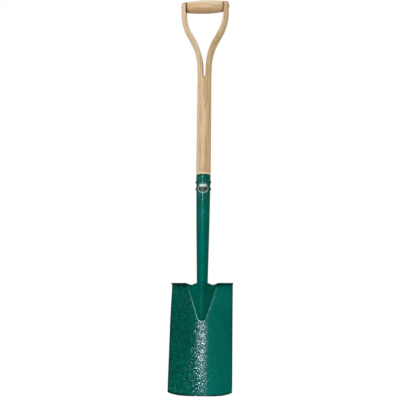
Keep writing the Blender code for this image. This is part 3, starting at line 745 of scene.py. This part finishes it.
def dark_steel():
    """Plain steel with a dull dark skin, brighter where it has been rubbed."""
    graph = new_material("bare_steel")
    place = graph.place()
    blotches = graph.noise(place, BLOTCH_SCALE, BLOTCH_DETAIL, BLOTCH_ROUGHNESS)
    scratches = graph.stretched_noise(place, SCRATCH_STRETCH, detail=2)
    return graph.finish(
        Base_Color=graph.mix(graph.share(blotches, *BLOTCHES), srgb(STEEL_DARK), srgb(STEEL_GREY)),
        Metallic=0.85,
        Roughness=graph.share(blotches, *RUBBED_SMOOTH),
        Normal=graph.bump(graph.plus(blotches, scratches), strength=0.2, distance=0.0001),
    )


def sticker():
    """A plain oval: pale rim, green field with one pale bar, and a dark band below it."""
    graph = new_material("oval_sticker")
    flat = graph.add("UVMap", {}, uv_map="flat").outputs[0]
    across, up, _ = graph.axes(flat)
    bar = graph.share(graph.size(graph.minus(up, BAR_MIDDLE)), *BAR_UP)
    bar = graph.times(bar, graph.share(graph.size(across), *BAR_ACROSS))
    band = graph.share(graph.size(graph.minus(up, BAND_MIDDLE)), *BAND_UP)
    wear = graph.noise(flat, STICKER_WEAR_SCALE, detail=3)
    rim = graph.mix(graph.share(up, *RIM_TONE), srgb(LABEL_RIM_TOP), srgb(LABEL_RIM))
    colour = graph.mix(bar, srgb(LABEL_FIELD), srgb(LABEL_BAR))
    colour = graph.mix(band, colour, srgb(LABEL_BAND))
    colour = graph.mix(graph.share(graph.distance(across, up), *PRINTED_RIM), colour, rim)
    colour = graph.mix(graph.share(wear, *STICKER_WEAR), colour, srgb(LABEL_BAND))
    return graph.finish(
        Base_Color=colour,
        Roughness=graph.share(wear, *STICKER_ROUGHNESS),
        Specular_IOR_Level=0.15,
    )


def floor_material():
    """Pale floor that takes the shadow near the spade and goes to the white of the backdrop."""
    graph = new_material("pale_floor")
    x, y, _ = graph.axes(graph.place())
    glow = graph.times(graph.seen(), graph.share(graph.distance(x, y), *FLOOR_GLOW))
    grey = graph.add("BsdfDiffuse", {"Color": FLOOR_GREY}).outputs[0]
    white = graph.add("Emission", {"Color": WHITE, "Strength": 1.0}).outputs[0]
    both = graph.add("MixShader", {0: glow, 1: grey, 2: white})
    graph.add("OutputMaterial", {"Surface": both.outputs[0]})
    return graph.owner


# Pieces


def mesh_from(shape, name, smooth=True):
    """A mesh with the faces of a bmesh, which is then freed."""
    for face in shape.faces:
        face.smooth = smooth
    mesh = bpy.data.meshes.new(name)
    shape.to_mesh(mesh)
    shape.free()
    return mesh


def add_object(name, data):
    """A new object in the scene."""
    added = bpy.data.objects.new(name, data)
    bpy.context.scene.collection.objects.link(added)
    return added


def add_piece(name, mesh, material):
    """A piece of the spade that only the looks need. It rides with the spade."""
    mesh.materials.append(material)
    piece = add_object(name, mesh)
    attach(piece, "root")


def socket_reach(nodes):
    """A function that gives the socket's radius at a turn in radians from the front and a height."""
    mesh = nodes["socket"].data
    places = [vertex.co for vertex in mesh.vertices]
    tree = BVHTree.FromPolygons(places, [face.vertices for face in mesh.polygons])
    outside = 2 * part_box("socket")[1].x

    def radius(turn, height):
        return outside - tree.ray_cast(around(outside, turn, height), -around(1, turn, 0))[3]

    return radius


def build_label(radius):
    """The oval sticker, wrapped round the front of the socket. Its flat map runs from -1 to 1."""
    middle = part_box("socket")[1].z - LABEL_DROP
    middle_turn = radians(LABEL_TURN)
    shape = bmesh.new()
    flat_map = shape.loops.layers.uv.new("flat")
    flat_places = {}

    def point(share, spoke, lift):
        angle = 2 * pi * spoke / LABEL_SPOKES
        across, up = share * cos(angle), share * sin(angle)
        height = middle + up * LABEL_HEIGHT / 2
        turn = middle_turn + across * LABEL_WIDTH / 2 / radius(middle_turn, height)
        vertex = shape.verts.new(around(radius(turn, height) + lift, turn, height))
        flat_places[vertex] = (across, up)
        return vertex

    centre = point(0, 0, LABEL_THICKNESS)
    loops = []
    for ring in range(1, LABEL_RINGS + 1):
        loops.append([point(ring / LABEL_RINGS, spoke, LABEL_THICKNESS) for spoke in range(LABEL_SPOKES)])
    loops.append([point(LABEL_SKIRT, spoke, -LABEL_THICKNESS / 2) for spoke in range(LABEL_SPOKES)])
    for spoke in range(LABEL_SPOKES):
        after = (spoke + 1) % LABEL_SPOKES
        shape.faces.new((centre, loops[0][spoke], loops[0][after]))
        for inner, outer in zip(loops, loops[1:]):
            shape.faces.new((inner[spoke], outer[spoke], outer[after], inner[after]))
    for face in shape.faces:
        for loop in face.loops:
            loop[flat_map].uv = flat_places[loop.vert]
    add_piece("oval_label", mesh_from(shape, "oval_label"), sticker())


def build_bead(name, places, radii, material):
    """A weld bead: a rippled round bar through the given places, thin at both ends."""
    shape = bmesh.new()
    turns = [2 * pi * side / BEAD_SIDES for side in range(BEAD_SIDES)]
    rings = []
    for step, (place, radius) in enumerate(zip(places, radii)):
        before, after = places[max(0, step - 1)], places[min(len(places) - 1, step + 1)]
        along = (after - before).normalized()
        off_line = Vector((0, 0, 1)) if abs(along.z) < BEAD_STEEP else Vector((1, 0, 0))
        across = along.cross(off_line).normalized()
        rise = along.cross(across)
        ring = [place + (across * cos(turn) + rise * sin(turn)) * radius for turn in turns]
        rings.append([shape.verts.new(corner) for corner in ring])
    for ring, following in zip(rings, rings[1:]):
        for side in range(BEAD_SIDES):
            after = (side + 1) % BEAD_SIDES
            shape.faces.new((ring[side], ring[after], following[after], following[side]))
    shape.faces.new(rings[0][::-1])
    shape.faces.new(rings[-1])
    bmesh.ops.recalc_face_normals(shape, faces=shape.faces)
    add_piece(name, mesh_from(shape, name), material)


def bead_radii(steps, radius, ripples):
    """Radii along a bead: tapered ends and one low ripple for each drop of weld."""
    radii = []
    for step in range(steps + 1):
        share = step / steps
        taper = min(1, sqrt(max(BEAD_BLUNTNESS, min(share, 1 - share) * BEAD_SWELL)))
        radii.append(radius * taper * (1 + BEAD_RIPPLE * cos(2 * pi * ripples * share)))
    return radii


def build_seam_weld(radius, seam, material):
    """The bead that closes the seam above the frog."""
    reach = radius(0, seam + SEAM_PROBE) + SEAM_OFFSET
    turns = [radians(SEAM_TURN * (2 * step / SEAM_STEPS - 1)) for step in range(SEAM_STEPS + 1)]
    places = [around(reach, turn, seam) for turn in turns]
    build_bead("seam_weld", places, bead_radii(SEAM_STEPS, SEAM_RADIUS, SEAM_RIPPLES), material)


def build_tail_welds(radius, seam, material):
    """A bead at each side of the socket's tail, behind the blade."""
    radii = bead_radii(TAIL_WELD_STEPS, TAIL_WELD_RADIUS, TAIL_WELD_RIPPLES)
    turn = radians(TAIL_WELD_TURN)
    for side, name in ((-1, "tail_weld_left"), (1, "tail_weld_right")):
        places = []
        for step in range(TAIL_WELD_STEPS + 1):
            share = step / TAIL_WELD_STEPS
            height = seam - TAIL_WELD_DROP - TAIL_WELD_LENGTH * share
            reach = radius(turn, height) + TAIL_WELD_OFFSET * (TAIL_WELD_START + share)
            places.append(around(reach, side * turn, height))
        build_bead(name, places, radii, material)


def build_welds(radius):
    """The beads that join the socket and the blade, painted like both."""
    material = hammered_paint("weld_paint", WELD_LEVEL)
    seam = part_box("blade")[1].z + SEAM_LIFT
    build_seam_weld(radius, seam, material)
    build_tail_welds(radius, seam, material)


def smooth_shading():
    """A node group that shades a solid smooth, apart from its real edges."""
    group = bpy.data.node_groups.new("smooth_shading", "GeometryNodeTree")
    for in_out in ("INPUT", "OUTPUT"):
        group.interface.new_socket("Geometry", in_out=in_out, socket_type="NodeSocketGeometry")

    def step(kind, feeds, **settings):
        return add_node(group, kind, feeds, **settings).outputs[0]

    solid = step("NodeGroupInput", {})
    solid = step("GeometryNodeMergeByDistance", {"Geometry": solid, "Distance": MERGE_DISTANCE})
    solid = step("GeometryNodeRemoveAttribute", {"Geometry": solid, "Name": "custom_normal"})
    for domain in ("FACE", "EDGE"):
        solid = step("GeometryNodeSetShadeSmooth", {"Geometry": solid, "Shade Smooth": True}, domain=domain)
    angle = step("GeometryNodeInputMeshEdgeAngle", {})
    sharp = step("FunctionNodeCompare", {"A": angle, "B": radians(SMOOTH_ANGLE)}, operation="GREATER_THAN")
    kept_sharp = {"Geometry": solid, "Selection": sharp, "Shade Smooth": False}
    solid = step("GeometryNodeSetShadeSmooth", kept_sharp, domain="EDGE")
    add_node(group, "NodeGroupOutput", {"Geometry": solid})
    return group


def dress_nodes(nodes):
    """Gives each CAD node its own finish and smooth shading."""
    def along_z(graph, place):
        return place

    def along_x(graph, place):
        x, y, z = graph.axes(place)
        return graph.vector(z, y, x)

    def along_shaft(graph, place):
        return unbent(graph, place, nodes["shaft"])

    steel = dark_steel()
    rivet_paint = hammered_paint("rivet_paint", RIVET_LEVEL)
    finishes = {
        "shaft": ash("shaft_ash", along_shaft, SHAFT_PITH, SHAFT_RINGS, shaft_marks),
        "grip": ash("grip_ash", along_x, GRIP_PITH, GRIP_RINGS, grip_marks),
        "fork_wedge": ash("wedge_ash", along_z, WEDGE_PITH, WEDGE_RINGS, wedge_marks),
        "grip_rod": steel,
        "grip_washer_left": steel,
        "grip_washer_right": steel,
        "socket": hammered_paint("socket_paint", SOCKET_PAINTED_LIGHT_LEVEL, socket_painted_shade_and_gloss),
        "blade": hammered_paint("blade_paint", 1, blade_tones_and_painted_light),
        "socket_rivet_upper": rivet_paint,
        "socket_rivet_lower": rivet_paint,
    }
    shading = smooth_shading()
    for name, finish in finishes.items():
        for slot in nodes[name].material_slots:
            slot.material = finish
        nodes[name].modifiers.new("smooth_shading", "NODES").node_group = shading


# Studio


def build_floor():
    """A pale round floor a little below the blade of the hanging spade."""
    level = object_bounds()[0].z - FLOOR_DROP
    shape = bmesh.new()
    bmesh.ops.create_circle(shape, cap_ends=True, segments=FLOOR_SIDES, radius=FLOOR_RADIUS,
                            matrix=Matrix.Translation((0, 0, level)))
    floor = add_object("floor", mesh_from(shape, "floor", smooth=False))
    floor.data.materials.append(floor_material())


def light_world():
    """White where it is seen or mirrored, and a plain level of light on the spade."""
    world = bpy.data.worlds.new("white_studio")
    bpy.context.scene.world = world
    graph = Graph(world)
    strength = graph.even_share(graph.seen(), 0, 1, WORLD_LIGHT, 1)
    background = graph.add("Background", {"Color": WHITE, "Strength": strength})
    graph.add("OutputWorld", {"Surface": background.outputs[0]})


def add_lamp(name, azimuth, elevation, distance, wide, high, watts):
    """A soft box that faces a point near the middle of the spade."""
    data = bpy.data.lights.new(name, "AREA")
    data.shape = "RECTANGLE"
    data.size, data.size_y = wide, high
    data.energy = watts
    lamp = add_object(name, data)
    towards = direction(azimuth, elevation)
    lamp.location = Vector(LAMP_CENTRE) + towards * distance
    lamp.rotation_euler = towards.to_track_quat("Z", "Y").to_euler()
    return lamp


def light_spade():
    """Three soft boxes, and a narrow strip that is seen in the gloss but lights nothing else."""
    add_lamp("key_lamp", **KEY_LAMP)
    add_lamp("front_lamp", **FRONT_LAMP)
    add_lamp("fill_lamp", **FILL_LAMP)
    strip = add_lamp("strip_lamp", **STRIP_LAMP)
    strip.data.color = STRIP_COLOUR
    strip.visible_diffuse = False


def add_camera():
    """The photograph's camera: a little to the right, below the spade's middle, and slightly tilted."""
    back = direction(CAMERA_AZIMUTH, CAMERA_ELEVATION)
    right = Vector((0, 0, 1)).cross(back).normalized()
    up = back.cross(right)
    roll = radians(CAMERA_ROLL)
    tilted_up = up * cos(roll) - right * sin(roll)
    eye = Vector(CAMERA_TARGET) + back * CAMERA_DISTANCE
    aim = Vector(CAMERA_TARGET) - right * AIM_LEFT - up * AIM_DOWN
    back = (eye - aim).normalized()
    tilted_up = (tilted_up - back * tilted_up.dot(back)).normalized()
    turn = Matrix((tilted_up.cross(back), tilted_up, back)).transposed().to_4x4()
    data = bpy.data.cameras.new("camera")
    data.sensor_width = CAMERA_SENSOR
    data.lens = CAMERA_LENS
    camera = add_object("camera", data)
    camera.matrix_world = Matrix.Translation(eye) @ turn
    bpy.context.scene.camera = camera


def main():
    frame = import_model()
    nodes = frame["nodes"]
    dress_nodes(nodes)
    radius = socket_reach(nodes)
    build_label(radius)
    build_welds(radius)
    build_floor()
    light_world()
    light_spade()
    add_camera()
    bpy.context.scene.view_settings.view_transform = "Standard"


main()
